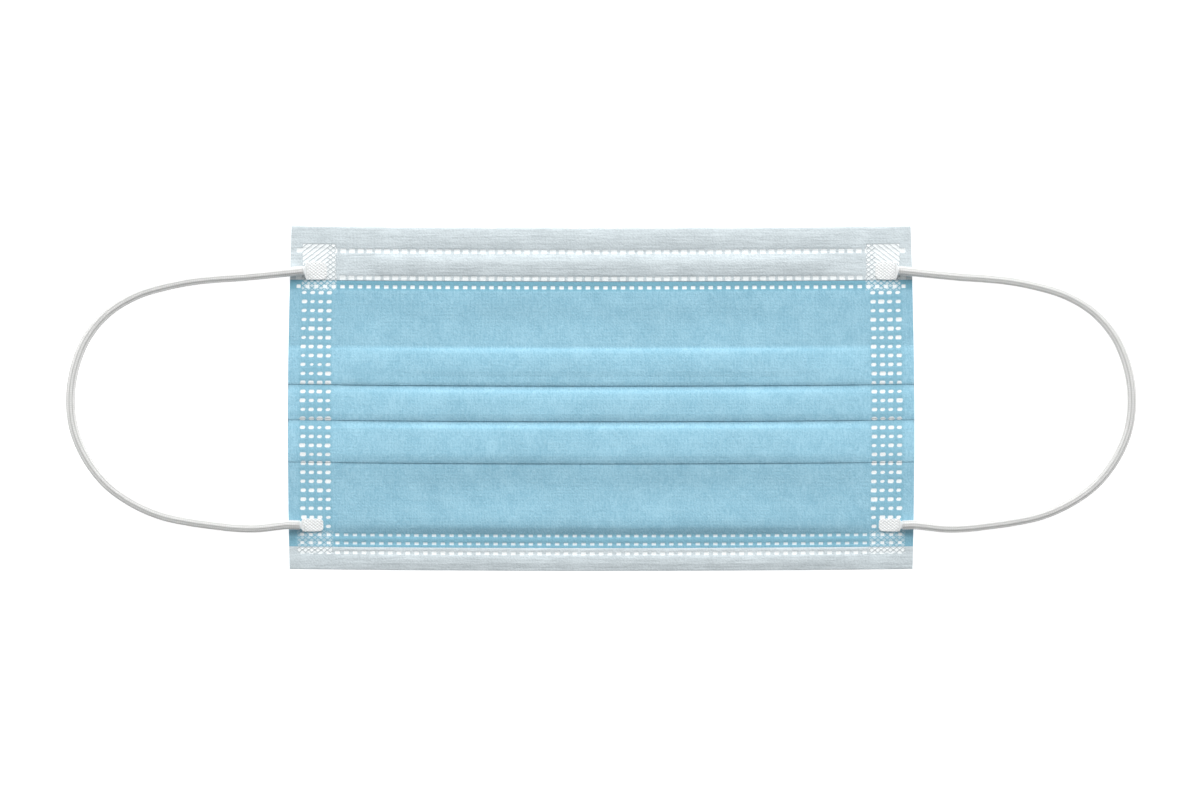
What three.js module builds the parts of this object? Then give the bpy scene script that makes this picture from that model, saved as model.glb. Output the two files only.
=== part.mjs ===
// A pleated face mask lying flat, outer face up, with its elastic ear loops spread out beside it.
// Millimetres. +X runs across the face, +Y towards the nose edge and +Z up through the cloth.
// The origin is on the surface that the mask lies on, under its middle.

import * as THREE from "three";

// Driving dimensions of the cloth
const MASK_HEIGHT = 96.5; // nose edge to chin edge, folded flat
const HALF_WIDTH = 87.3; // half the width at the nose and chin edges
const SIDE_SWELL = 0.75; // how much further out each side stands at mid height
const SIDE_LEAN = 0.28; // how far each side leans in towards the nose edge
const MIDDLE_SAG = 0.5; // how far the middle of each edge and fold hangs below its ends
const CLOTH_WALL = 1.0; // the three plies together
const PIECE_GAP = 0.3; // clearance between two pieces

// Pleats
const LAYER_STEP = CLOTH_WALL + PIECE_GAP; // from one layer of a pleat up to the next
const CLIMB_RUN = 3.6; // length in which the sheet climbs onto a pleat
// From the nose down: where the sheet starts to climb, and where its front fold turns back
const PLEATS = [
  { climb: 14.5, fold: 4.0 },
  { climb: 3.2, fold: -6.0 },
  { climb: -7.0, fold: -17.9 },
];

// Hems and nose wire
const TOP_HEM_LEAF = 15.1; // how far the top hem comes down the front
const BOTTOM_HEM_LEAF = 6.4; // how far the bottom hem comes up the front
const HEM_CORNER = 1.0; // radius at the middle of the wall where a hem turns over the edge
const WIRE_LENGTH = 127;
const WIRE_WIDTH = 3.2;
const WIRE_THICKNESS = 0.8;
const WIRE_HEIGHT_UP = 38.3; // how far up the face the wire runs
const TUNNEL_FLANK = 2.4; // length in which the hem climbs onto the wire and down again

// Ear loops and their welded ends
const CORD_DIAMETER = 2.3;
const CORD_SIDES = 8;
const CORD_STEPS = 34;
const CORD_CLEARANCE = 0.05; // keeps the curve of a lying cord above the surface
const TABS = [
  { name: "upper", out: 83.4, up: 35.9, widen: 1.0, onHem: true },
  { name: "lower", out: 84.4, up: -35.6, widen: 0.72, onHem: false },
];
const TAB_ROUNDING = 0.45; // corner radius of a pressed end, as a share of its thickness
// A cord end pressed flat, from where the cord comes in to its inner tip
const TAB_SECTIONS = [
  { inward: 0.0, width: 2.4, thick: 2.2 },
  { inward: 1.3, width: 4.0, thick: 1.3 },
  { inward: 2.6, width: 4.9, thick: 0.9 },
  { inward: 5.4, width: 4.9, thick: 0.8 },
  { inward: 6.3, width: 3.6, thick: 0.7 },
];
// The loop's route from its upper end round to its lower end. Lift 1 is the height of the end,
// and lift 0 lies on the surface under the mask.
const LOOP_ROUTE = [
  { out: 83.7, up: 35.9, lift: 1.0 },
  { out: 87.0, up: 35.6, lift: 1.0 },
  { out: 90.9, up: 35.2, lift: 0.82 },
  { out: 95.9, up: 34.7, lift: 0.42 },
  { out: 101.3, up: 34.2, lift: 0.12 },
  { out: 107.5, up: 33.8, lift: 0.0 },
  { out: 114.4, up: 33.1, lift: 0.0 },
  { out: 122.2, up: 31.6, lift: 0.0 },
  { out: 130.8, up: 28.9, lift: 0.0 },
  { out: 138.6, up: 24.1, lift: 0.0 },
  { out: 144.4, up: 17.2, lift: 0.0 },
  { out: 147.8, up: 9.0, lift: 0.0 },
  { out: 149.1, up: 0.1, lift: 0.0 },
  { out: 148.1, up: -8.8, lift: 0.0 },
  { out: 144.5, up: -17.1, lift: 0.0 },
  { out: 139.0, up: -24.1, lift: 0.0 },
  { out: 131.8, up: -29.3, lift: 0.0 },
  { out: 123.9, up: -32.8, lift: 0.0 },
  { out: 115.9, up: -34.6, lift: 0.0 },
  { out: 108.8, up: -35.6, lift: 0.0 },
  { out: 102.5, up: -36.3, lift: 0.0 },
  { out: 96.5, up: -36.4, lift: 0.2 },
  { out: 91.0, up: -35.8, lift: 0.75 },
  { out: 88.0, up: -35.5, lift: 1.0 },
  { out: 84.7, up: -35.6, lift: 1.0 },
];

// Sections across the mask, as a share of its half width. The cloth keeps its full height in the
// middle and is pressed down where the side seams are welded.
const SECTIONS = [
  { across: 0.0, press: 1.0 },
  { across: 0.35, press: 1.0 },
  { across: 0.73, press: 1.0 },
  { across: 0.8, press: 0.85 },
  { across: 0.88, press: 0.7 },
  { across: 1.0, press: 0.7 },
];
const SEAM_PRESS = SECTIONS.at(-1).press;
const CURVE_STEPS = 5; // steps in an S-curve, and half the steps in a fold

// Heights of the middle of the wall, and of the faces that other pieces lie on
const LOW = CLOTH_WALL / 2;
const LEAF = LOW + CLOTH_WALL + PIECE_GAP;
const PANEL_TOP = CLOTH_WALL;
const LEAF_TOP = LEAF + CLOTH_WALL / 2;
const WIRE_BASE = PANEL_TOP + PIECE_GAP;
const TUNNEL_RISE = WIRE_THICKNESS + PIECE_GAP;
const HALF_HEIGHT = MASK_HEIGHT / 2;
const NOSE_EDGE = HALF_HEIGHT + MIDDLE_SAG / 2;
const CHIN_EDGE = MIDDLE_SAG / 2 - HALF_HEIGHT;
const HEM_DEPTH = CLOTH_WALL + PIECE_GAP; // from a hem's outer face to the edge of the panel inside it

const outerCloth = new THREE.MeshStandardMaterial({ color: "#a0cfe1", roughness: 0.9, metalness: 0 });
const innerCloth = new THREE.MeshStandardMaterial({ color: "#dfe6e9", roughness: 0.9, metalness: 0 });
const knittedElastic = new THREE.MeshStandardMaterial({ color: "#eeeeec", roughness: 0.85, metalness: 0 });
const coatedWire = new THREE.MeshStandardMaterial({ color: "#f2f2f0", roughness: 0.5, metalness: 0 });

const mask = new THREE.Group();

function addMesh(name, geometry, material) {
  const mesh = new THREE.Mesh(geometry, material);
  mesh.name = name;
  mask.add(mesh);
}

// Half the mask's width at a height up the face: fullest at mid height, least at the nose edge.
function sideEdge(up) {
  const share = up / HALF_HEIGHT;
  return HALF_WIDTH + SIDE_SWELL * (1 - share ** 2) - SIDE_LEAN * share;
}

// A point of the flat cloth, moved to where it lies at one section across the mask.
function lay({ across, press }, up, height) {
  const sag = MIDDLE_SAG * (1 - across ** 2);
  return new THREE.Vector3(across * sideEdge(up), up - sag, height * press);
}

// The sections from the left side to the right side.
function sectionsAcross() {
  const right = SECTIONS.slice(1);
  const left = right.map(({ across, press }) => ({ across: -across, press })).reverse();
  return [...left, ...SECTIONS];
}

// A closed outline one cloth wall thick round a path, counterclockwise.
function wallAround(path) {
  const line = path.getPoints(CURVE_STEPS);
  const offsets = line.map((_, i) => {
    const before = line[Math.max(i - 1, 0)];
    const after = line[Math.min(i + 1, line.length - 1)];
    const along = after.clone().sub(before).setLength(CLOTH_WALL / 2);
    return new THREE.Vector2(-along.y, along.x);
  });
  const oneSide = line.map((point, i) => point.clone().add(offsets[i]));
  const otherSide = line.map((point, i) => point.clone().sub(offsets[i]));
  return counterclockwise([...oneSide, ...otherSide.reverse()]);
}

function counterclockwise(outline) {
  return THREE.ShapeUtils.isClockWise(outline) ? outline.reverse() : outline;
}

// A closed body through rings of points. Each ring lies across X and turns counterclockwise seen from +X.
function loft(rings) {
  const ordered = [...rings].sort((one, other) => one[0].x - other[0].x);
  const count = ordered[0].length;
  const faces = [];
  for (let ring = 0; ring + 1 < ordered.length; ring++) {
    for (let i = 0; i < count; i++) {
      const a = ring * count + i;
      const b = ring * count + ((i + 1) % count);
      faces.push(a, b, a + count, b, b + count, a + count);
    }
  }
  const cap = (ring) => ring.map(({ y, z }) => new THREE.Vector2(y, z));
  const last = (ordered.length - 1) * count;
  for (const [a, b, c] of THREE.ShapeUtils.triangulateShape(cap(ordered[0]), [])) {
    faces.push(a, c, b);
  }
  for (const [a, b, c] of THREE.ShapeUtils.triangulateShape(cap(ordered.at(-1)), [])) {
    faces.push(last + a, last + b, last + c);
  }
  const geometry = new THREE.BufferGeometry().setFromPoints(ordered.flat());
  geometry.setIndex(faces);
  geometry.computeVertexNormals();
  return geometry;
}

// The panel's section, from the nose edge to the chin edge. At each pleat the sheet climbs two layers,
// turns back at the front fold, runs up under itself and turns down again at the hidden tuck.
function pleatPath() {
  const middle = LOW + LAYER_STEP;
  const high = middle + LAYER_STEP;
  const bend = LAYER_STEP / 2;
  const reach = bend + CLOTH_WALL / 2;
  const path = new THREE.Path().moveTo(NOSE_EDGE - HEM_DEPTH, LOW);
  path.lineTo(NOSE_EDGE - TOP_HEM_LEAF, LOW);
  for (const { climb, fold } of PLEATS) {
    const halfway = climb - CLIMB_RUN / 2;
    const crest = climb - CLIMB_RUN;
    path.lineTo(climb, LOW);
    path.bezierCurveTo(halfway, LOW, halfway, high, crest, high);
    path.lineTo(fold + reach, high);
    path.absarc(fold + reach, middle + bend, bend, Math.PI / 2, -Math.PI / 2, false);
    path.lineTo(crest - reach, middle);
    path.absarc(crest - reach, LOW + bend, bend, Math.PI / 2, -Math.PI / 2, true);
  }
  path.lineTo(CHIN_EDGE + BOTTOM_HEM_LEAF, LOW);
  path.lineTo(CHIN_EDGE + HEM_DEPTH, LOW);
  return path;
}

// A hem's section: up the edge from the surface, over the corner and along the front.
// Side is 1 at the nose edge and -1 at the chin edge.
function hemPath(side, edge, leaf, rise) {
  const wall = edge - side * (CLOTH_WALL / 2);
  const turn = wall - side * HEM_CORNER;
  const path = new THREE.Path().moveTo(wall, 0);
  path.lineTo(wall, LEAF - HEM_CORNER);
  path.absarc(turn, LEAF - HEM_CORNER, HEM_CORNER, side > 0 ? 0 : Math.PI, Math.PI / 2, side < 0);
  if (side > 0) {
    const flankTop = WIRE_HEIGHT_UP + WIRE_WIDTH / 2 + PIECE_GAP;
    const flankBottom = WIRE_HEIGHT_UP - WIRE_WIDTH / 2 - PIECE_GAP;
    const above = flankTop + TUNNEL_FLANK / 2;
    const below = flankBottom - TUNNEL_FLANK / 2;
    path.lineTo(flankTop + TUNNEL_FLANK, LEAF);
    path.bezierCurveTo(above, LEAF, above, LEAF + rise, flankTop, LEAF + rise);
    path.lineTo(flankBottom, LEAF + rise);
    path.bezierCurveTo(below, LEAF + rise, below, LEAF, flankBottom - TUNNEL_FLANK, LEAF);
  }
  path.lineTo(edge - side * leaf, LEAF);
  return path;
}

function pleatedPanel() {
  const outline = wallAround(pleatPath());
  return loft(sectionsAcross().map((section) => outline.map(({ x, y }) => lay(section, x, y))));
}

// The top hem stands over the wire at full height and lies flat beyond the wire's ends.
function hem(side, edge, leaf) {
  const rings = sectionsAcross().map((section) => {
    const rise = section.press === 1 ? TUNNEL_RISE : 0;
    return wallAround(hemPath(side, edge, leaf, rise)).map(({ x, y }) => lay(section, x, y));
  });
  return loft(rings);
}

// A flat strip that follows the slight sag of the nose edge.
function noseWire() {
  const low = WIRE_HEIGHT_UP - WIRE_WIDTH / 2;
  const outline = [
    new THREE.Vector2(low, WIRE_BASE),
    new THREE.Vector2(low + WIRE_WIDTH, WIRE_BASE),
    new THREE.Vector2(low + WIRE_WIDTH, WIRE_BASE + WIRE_THICKNESS),
    new THREE.Vector2(low, WIRE_BASE + WIRE_THICKNESS),
  ];
  const end = WIRE_LENGTH / 2 / sideEdge(WIRE_HEIGHT_UP);
  const stations = [-end, -end / 2, 0, end / 2, end].map((across) => ({ across, press: 1 }));
  return loft(stations.map((section) => outline.map(({ x, y }) => lay(section, x, y))));
}

// The height of the surface that a loop's end is welded to.
function tabBase(onHem) {
  return (onHem ? LEAF_TOP : PANEL_TOP) * SEAM_PRESS + PIECE_GAP;
}

// A pressed cord end: flat rounded sections from the cord's round one to the inner tip.
function weldTab(side, { out, up, widen, onHem }) {
  const base = tabBase(onHem);
  const rings = TAB_SECTIONS.map(({ inward, width, thick }) => {
    const breadth = Math.max(width * widen, CORD_DIAMETER);
    const corner = thick * TAB_ROUNDING;
    const shape = new THREE.Shape();
    shape.absarc(breadth / 2 - corner, corner, corner, -Math.PI / 2, 0);
    shape.absarc(breadth / 2 - corner, thick - corner, corner, 0, Math.PI / 2);
    shape.absarc(corner - breadth / 2, thick - corner, corner, Math.PI / 2, Math.PI);
    shape.absarc(corner - breadth / 2, corner, corner, Math.PI, Math.PI * 1.5);
    const outline = counterclockwise(shape.getPoints(1));
    return outline.map(({ x, y }) => new THREE.Vector3(side * (out - inward), up + x, base + y));
  });
  return loft(rings);
}

// A round cord along the loop's route, lying on the surface between its two lifted ends.
function earLoop(side) {
  const radius = CORD_DIAMETER / 2;
  const lying = radius + CORD_CLEARANCE;
  const points = LOOP_ROUTE.map(({ out, up, lift }) => {
    const end = tabBase(up > 0) + radius;
    return new THREE.Vector3(side * out, up, lying + lift * (end - lying));
  });
  const section = Array.from({ length: CORD_SIDES }, (_, i) => {
    const turn = (2 * Math.PI * i) / CORD_SIDES;
    return new THREE.Vector2(radius * Math.cos(turn), radius * Math.sin(turn));
  });
  return new THREE.ExtrudeGeometry(new THREE.Shape(section), {
    steps: CORD_STEPS,
    bevelEnabled: false,
    extrudePath: new THREE.CatmullRomCurve3(points),
  });
}

addMesh("pleated_panel", pleatedPanel(), outerCloth);
addMesh("top_hem", hem(1, NOSE_EDGE, TOP_HEM_LEAF), innerCloth);
addMesh("bottom_hem", hem(-1, CHIN_EDGE, BOTTOM_HEM_LEAF), innerCloth);
addMesh("nose_wire", noseWire(), coatedWire);
for (const [sideName, side] of [["left", -1], ["right", 1]]) {
  addMesh(`${sideName}_ear_loop`, earLoop(side), knittedElastic);
  for (const tab of TABS) {
    addMesh(`${sideName}_${tab.name}_weld_tab`, weldTab(side, tab), knittedElastic);
  }
}

export default mask;
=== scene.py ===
"""Builds the looks of a pleated face mask, lying flat with its loops spread, round its CAD frame."""

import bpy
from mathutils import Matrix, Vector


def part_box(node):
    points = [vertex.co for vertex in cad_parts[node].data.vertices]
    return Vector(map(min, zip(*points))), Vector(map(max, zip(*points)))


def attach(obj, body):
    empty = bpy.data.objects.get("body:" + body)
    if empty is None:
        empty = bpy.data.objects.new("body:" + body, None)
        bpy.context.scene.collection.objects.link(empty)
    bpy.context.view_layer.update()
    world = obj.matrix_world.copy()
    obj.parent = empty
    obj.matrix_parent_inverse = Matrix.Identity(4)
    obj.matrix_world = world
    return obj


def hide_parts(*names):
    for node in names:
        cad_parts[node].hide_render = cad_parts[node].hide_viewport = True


bl_info = {
    "name": "Pleated face mask",
    "version": (1, 0, 0),
    "blender": (4, 5, 0),
    "location": "3D View > Sidebar > Face mask",
    "description": "Makes the plies, hems, ear loops, nose wire and stage of a pleated face mask",
    "category": "Mesh",
}

from collections import namedtuple

import bpy
import numpy as np
from mathutils import Vector

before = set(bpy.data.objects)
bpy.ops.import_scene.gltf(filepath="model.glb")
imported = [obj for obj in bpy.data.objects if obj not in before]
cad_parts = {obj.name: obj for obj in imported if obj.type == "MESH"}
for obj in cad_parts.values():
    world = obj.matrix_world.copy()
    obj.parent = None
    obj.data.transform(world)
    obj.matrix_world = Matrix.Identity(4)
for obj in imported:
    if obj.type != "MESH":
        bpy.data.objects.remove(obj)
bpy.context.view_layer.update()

# Shapes are worked out in millimetres and turned to metres when a mesh is made.
MM = 0.001

# Outline of the flat cloth, from the frame
MIDDLE_SAG = 0.5
SIDE_SWELL = 0.75
SIDE_LEAN = 0.28
NOSE_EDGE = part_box("top_hem")[1].y / MM
CHIN_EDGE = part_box("bottom_hem")[0].y / MM + MIDDLE_SAG
HALF_HEIGHT = (NOSE_EDGE - CHIN_EDGE) / 2
HALF_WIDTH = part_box("pleated_panel")[1].x / MM - SIDE_SWELL
MIDDLE_HALF_WIDTH = HALF_WIDTH + SIDE_SWELL

# Places up the face, mm above its middle
TOP_HEM_EDGE = 33.4
BOTTOM_HEM_EDGE = -41.6
WIRE_UP = 38.5
NOSE_TURN = 1.0
CHIN_TURN = 0.8
HEM_BACK_RUN = 1.4
HEM_UNDERSIDE = 0.04
HEM_EDGE_TAPER = 0.8
HEM_EDGE_SHARE = 0.3

# A stretch of cloth: place up the face, height of its outer surface in the middle and at the sides, mm
Stretch = namedtuple("Stretch", "up middle side")
UP = 0
FLAT_PLY = 0.34
PANEL_RUNS = (
    (
        Stretch(46.6, FLAT_PLY, FLAT_PLY),
        Stretch(35.0, FLAT_PLY, FLAT_PLY),
        Stretch(33.4, 0.35, 0.35),
        Stretch(31.6, 0.37, 0.37),
        Stretch(30.0, 0.48, 0.46),
        Stretch(27.5, 0.50, 0.48),
        Stretch(22.5, 0.37, 0.48),
        Stretch(18.0, 0.55, 0.60),
        Stretch(15.3, 0.72, 0.66),
        Stretch(14.7, 0.74, 0.68),
        Stretch(14.3, 0.93, 0.76),
        Stretch(13.8, 1.18, 0.86),
        Stretch(13.2, 1.33, 0.94),
        Stretch(12.0, 1.46, 1.04),
        Stretch(10.6, 1.53, 1.12),
        Stretch(8.6, 1.50, 1.16),
        Stretch(6.4, 1.26, 1.12),
    ),
    (
        Stretch(11.3, FLAT_PLY, FLAT_PLY),
        Stretch(5.4, FLAT_PLY, FLAT_PLY),
        Stretch(4.8, 0.38, 0.38),
        Stretch(4.3, 0.48, 0.46),
        Stretch(4.0, 0.56, 0.53),
        Stretch(3.7, 0.62, 0.57),
        Stretch(3.3, 0.65, 0.60),
        Stretch(2.95, 0.68, 0.62),
        Stretch(2.7, 0.84, 0.70),
        Stretch(2.3, 1.09, 0.82),
        Stretch(1.8, 1.24, 0.91),
        Stretch(1.0, 1.34, 0.99),
        Stretch(-0.2, 1.46, 1.06),
        Stretch(-1.8, 1.48, 1.10),
        Stretch(-3.9, 1.44, 1.11),
    ),
    (
        Stretch(-0.5, FLAT_PLY, FLAT_PLY),
        Stretch(-4.6, FLAT_PLY, FLAT_PLY),
        Stretch(-5.2, 0.42, 0.39),
        Stretch(-5.7, 0.55, 0.48),
        Stretch(-6.0, 0.64, 0.55),
        Stretch(-6.3, 0.71, 0.60),
        Stretch(-6.8, 0.74, 0.62),
        Stretch(-7.05, 0.78, 0.64),
        Stretch(-7.3, 0.97, 0.73),
        Stretch(-7.7, 1.25, 0.86),
        Stretch(-8.2, 1.41, 0.95),
        Stretch(-9.0, 1.51, 1.02),
        Stretch(-10.3, 1.58, 1.10),
        Stretch(-12.2, 1.65, 1.18),
        Stretch(-14.3, 1.66, 1.22),
        Stretch(-15.6, 1.62, 1.22),
    ),
    (
        Stretch(-11.0, FLAT_PLY, FLAT_PLY),
        Stretch(-16.0, 0.36, 0.36),
        Stretch(-16.9, 0.49, 0.43),
        Stretch(-17.5, 0.67, 0.54),
        Stretch(-17.9, 0.84, 0.64),
        Stretch(-18.4, 0.87, 0.66),
        Stretch(-19.2, 0.85, 0.65),
        Stretch(-20.6, 0.78, 0.62),
        Stretch(-24.5, 0.60, 0.52),
        Stretch(-28.0, 0.76, 0.59),
        Stretch(-31.5, 1.10, 0.74),
        Stretch(-34.0, 1.29, 0.84),
        Stretch(-35.4, 1.25, 0.81),
        Stretch(-36.4, 0.96, 0.67),
        Stretch(-37.2, 0.60, 0.48),
        Stretch(-37.7, 0.39, 0.37),
        Stretch(-38.2, 0.31, 0.31),
        Stretch(-39.3, 0.41, 0.40),
        Stretch(-40.5, 0.31, 0.31),
        Stretch(-41.1, 0.36, 0.36),
        Stretch(-41.8, FLAT_PLY, FLAT_PLY),
        Stretch(-46.2, FLAT_PLY, FLAT_PLY),
    ),
)
TOP_HEM_RUN = (
    Stretch(47.5, 0.95, 0.80),
    Stretch(46.2, 1.04, 0.84),
    Stretch(44.6, 0.98, 0.80),
    Stretch(43.0, 0.78, 0.70),
    Stretch(42.3, 0.64, 0.62),
    Stretch(41.7, 0.57, 0.57),
    Stretch(41.1, 0.68, 0.62),
    Stretch(40.2, 0.98, 0.70),
    Stretch(39.3, 1.20, 0.76),
    Stretch(38.5, 1.27, 0.77),
    Stretch(37.3, 1.17, 0.75),
    Stretch(36.0, 0.96, 0.71),
    Stretch(35.2, 0.80, 0.68),
    Stretch(34.7, 0.62, 0.60),
    Stretch(34.1, 0.56, 0.56),
    Stretch(33.7, 0.54, 0.54),
    Stretch(33.4, 0.46, 0.46),
)
BOTTOM_HEM_RUN = (
    Stretch(-41.6, 0.46, 0.46),
    Stretch(-41.9, 0.54, 0.54),
    Stretch(-42.5, 0.57, 0.57),
    Stretch(-43.1, 0.56, 0.56),
    Stretch(-43.7, 0.66, 0.63),
    Stretch(-44.6, 0.80, 0.72),
    Stretch(-45.6, 0.80, 0.71),
    Stretch(-46.5, 0.68, 0.64),
    Stretch(-47.2, 0.52, 0.52),
)

# A pleat: its lower folded edge, how far back the cloth starts to roll over it, its hidden upper fold, and
# how evenly the cloth slopes down to the edge: 1 is an ellipse
Pleat = namedtuple("Pleat", "fold reach tuck slope")
PLEATS = (
    Pleat(4.0, 2.4, 11.6, 1.1),
    Pleat(-6.0, 2.1, -0.2, 2.0),
    Pleat(-17.9, 2.3, -10.6, 2.1),
)
TUCK_REACH = 0.4
TUCK_STEPS = 3
LAYER_GAP = 0.04
OUTER_PLY_SHARE = 0.72
PLY_CLEARANCE = 0.01

# Where the pleats lie, from low to high in mm, and how much paler their colour is painted there: painted light
# for the lit pleats
PLEAT_ZONE = (-17.6, 14.5)
PLEAT_PAINTED_LIGHT = 1.10

# Shares of the half width between which the heights go from the middle's to the sides', the seams press the
# cloth down, and the waves of the free cloth die out
PLEAT_FADE = (0.45, 0.85)
PRESS_EDGE = (0.80, 0.885)
DRIFT_END = (0.76, 0.87)

# Mesh lines: spacing over the outer ply and the hems, mm, steps round their folds, columns of the inner ply,
# and how far outside and inside the edge of a weld point a line runs, mm
PLY_COLUMN = 0.36
PLY_ROWS_EACH_WELD = 5
FOLD_STEPS = 8
HEM_COLUMN = 0.17
HEM_ROW = 0.21
HEM_INSIDE_ROW = 0.7
HEM_TURN_STEPS = 9
HEM_INSIDE_STEPS = 5
INNER_PLY_COLUMNS = 161
LINE_OUTSIDE = 0.14
LINE_INSIDE = 0.16

# Size of a streak of fibres across the face, up it and through it, mm
BLUE_FIBRE = (0.42, 2.2, 0.42)
WHITE_FIBRE = (7.0, 0.6, 0.6)

# A wave of the free cloth: height in mm, turns across and along in radians for each mm, and start
Wave = namedtuple("Wave", "height across along start")
DRIFT = (
    Wave(0.06, 0.19, 0.17, 0.4),
    Wave(0.05, -0.12, 0.29, 2.1),
    Wave(0.04, 0.33, -0.08, 4.0),
    Wave(0.02, 0.58, 0.43, 1.2),
)

# Weld points: how many in each half of a hem row get mesh lines, the rows and columns of the side seams, and
# where a hem row ends. Mesh columns lean between the two heights and straighten out at the sides. Places across
# the face are shares of the half width, places up it are mm.
ROW_DOTS_EACH_HALF = 30
SEAM_TOP = 29.85
SEAM_ROW_PITCH = 2.5276
SEAM_ROWS = 26
SEAM_INNER_COLUMN = 0.872
SEAM_COLUMN_PITCH = 0.0268
SEAM_COLUMNS = 4
SEAM_DOT = (0.78, 0.50)
DOT_CORNER = 0.3
LAST_ROW_DOT = 0.975
LEAN_BETWEEN = (-36.0, 30.0)
LEAN_END = (0.84, 0.90)

# A row of weld points along a hem: place up the face, half width and half height of a point, mm
WeldRow = namedtuple("WeldRow", "up half_width half_height")
TOP_HEM_ROWS = (WeldRow(41.7, 0.85, 0.64), WeldRow(34.15, 0.84, 0.66))
PANEL_ROWS = (WeldRow(31.6, 0.70, 0.51), WeldRow(-38.2, 0.66, 0.42), WeldRow(-40.5, 0.66, 0.42))
BOTTOM_HEM_ROWS = (WeldRow(-43.1, 0.70, 0.50),)

# Tone of cloth packed by the welds: the band of a side seam, and the strips of the panel beside the hems
SEAM_BAND_START = (0.855, 0.868)
SEAM_BAND_END = (0.958, 0.972)
SEAM_TONE = 0.45
NOSE_STRIP = (30.4, 31.0)
CHIN_STRIP = (-37.8, -37.2)
CHIN_STRIP_TONE = 0.6

# Half the width of a weld point's sloping rim, mm, and its depth in a hem as a share of that in the panel
WELD_SLOPE = 0.16
HEM_WELD_SHARE = 0.9

# Knurled corner patches: inner and outer side and lower and upper edge, mm
Patch = namedtuple("Patch", "inner outer low high")
CORNER_PATCHES = (Patch(74.5, 84.0, 30.5, 43.7), Patch(75.4, 85.4, -43.3, -37.0))
KNURL_WIDTH = 1.75
KNURL_HEIGHT = 1.35
KNURL_SHARE = 0.41
FINE_KNURL = 0.62
STRIPES_OUT = 77.0
STRIPES_UP = 38.2
HALF_MELTED = 0.55
CHIN_KNURL = 0.6
KNURL_PRESS = 0.5

# Crease that the pressing tool leaves in the top hem above the patches: place, half width and depth, mm
CREASE_OUT = 76.6
CREASE_UP = 43.7
CREASE_HALF = 0.45
CREASE_DEPTH = 0.12

# Ear loops: places of the centreline, out from the middle and up, and how much of the end's height it keeps
RoutePoint = namedtuple("RoutePoint", "out up lift")
LOOP_ROUTE = (
    RoutePoint(83.7, 35.9, 1.0),
    RoutePoint(87.0, 35.6, 1.0),
    RoutePoint(90.9, 35.2, 0.82),
    RoutePoint(95.9, 34.7, 0.42),
    RoutePoint(101.3, 34.2, 0.12),
    RoutePoint(107.5, 33.8, 0.0),
    RoutePoint(114.4, 33.1, 0.0),
    RoutePoint(122.2, 31.6, 0.0),
    RoutePoint(130.8, 28.9, 0.0),
    RoutePoint(138.6, 24.1, 0.0),
    RoutePoint(144.4, 17.2, 0.0),
    RoutePoint(147.8, 9.0, 0.0),
    RoutePoint(149.1, 0.1, 0.0),
    RoutePoint(148.1, -8.8, 0.0),
    RoutePoint(144.5, -17.1, 0.0),
    RoutePoint(139.0, -24.1, 0.0),
    RoutePoint(131.8, -29.3, 0.0),
    RoutePoint(123.9, -32.8, 0.0),
    RoutePoint(115.9, -34.6, 0.0),
    RoutePoint(108.8, -35.6, 0.0),
    RoutePoint(102.5, -36.3, 0.0),
    RoutePoint(96.5, -36.4, 0.2),
    RoutePoint(91.0, -35.8, 0.75),
    RoutePoint(88.0, -35.5, 1.0),
    RoutePoint(84.7, -35.6, 1.0),
)
LYING_HEIGHT = 1.36
END_HEIGHT = 1.55
STITCH_LENGTH = 0.6
STEPS_PER_STITCH = 4
SIDES_PER_WALE = 4
WALE_GROOVE = 0.13
STITCH_DIP = 0.035
STITCH_LAG = 2.4

# How far light spreads inside the yarn of a cord and of its pressed ends, mm
YARN_SPREAD = 2.0
FILM_SPREAD = 0.1

# A pressed cord end: how far in from the cord, its width and its thickness, mm
EndSection = namedtuple("EndSection", "inward width thick")
END_SECTIONS = (
    EndSection(-0.3, 2.2, 2.2),
    EndSection(0.0, 2.3, 2.1),
    EndSection(0.25, 3.6, 1.2),
    EndSection(0.5, 5.0, 0.50),
    EndSection(0.8, 5.1, 0.40),
    EndSection(5.1, 5.0, 0.36),
    EndSection(5.7, 4.5, 0.34),
    EndSection(6.1, 3.7, 0.30),
    EndSection(6.3, 2.6, 0.24),
)
CordEnd = namedtuple("CordEnd", "name out up widen base")
CORD_ENDS = (
    CordEnd("upper", 83.4, 35.9, 1.0, 0.30),
    CordEnd("lower", 84.4, -35.6, 0.72, 0.38),
)
END_KNURL_DEPTH = 0.12
SIDES = {"left": -1.0, "right": 1.0}

# Nose wire: a flat strip with two round cores
WIRE_LENGTH = 127.0
WIRE_WIDTH = 3.2
WIRE_THICKNESS = 0.45
WIRE_HEIGHT = 0.64
WIRE_END_FADE = (0.70, 0.755)
WIRE_WAIST = 0.3
WIRE_SQUARENESS = 0.6

# Camera: the photo's frame is this wide at the mask, seen straight from above
VIEW_WIDTH = 0.3376
CAMERA_HEIGHT = 1.1
CAMERA_AIM = (-0.00031, -0.00045)
SENSOR = 36.0

# Light: two soft boxes from beyond the nose edge, one to each side, and an even white surround
Lamp = namedtuple("Lamp", "place width height power")
LAMPS = {
    "left_soft_box": Lamp((-0.66, 0.90, 0.66), 1.1, 1.1, 13.2),
    "right_soft_box": Lamp((0.66, 0.90, 0.66), 1.1, 1.1, 13.2),
}
WORLD_STRENGTH = 0.38
FLOOR_SIZE = 4.0
FLOOR_GLOW = 0.8


def linear(code):
    """Turns an sRGB hex colour to linear red, green and blue."""
    value = np.array([int(code[i:i + 2], 16) for i in (1, 3, 5)]) / 255
    low = value / 12.92
    high = ((value + 0.055) / 1.055) ** 2.4
    return tuple(np.where(value <= 0.04045, low, high).tolist())


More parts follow.
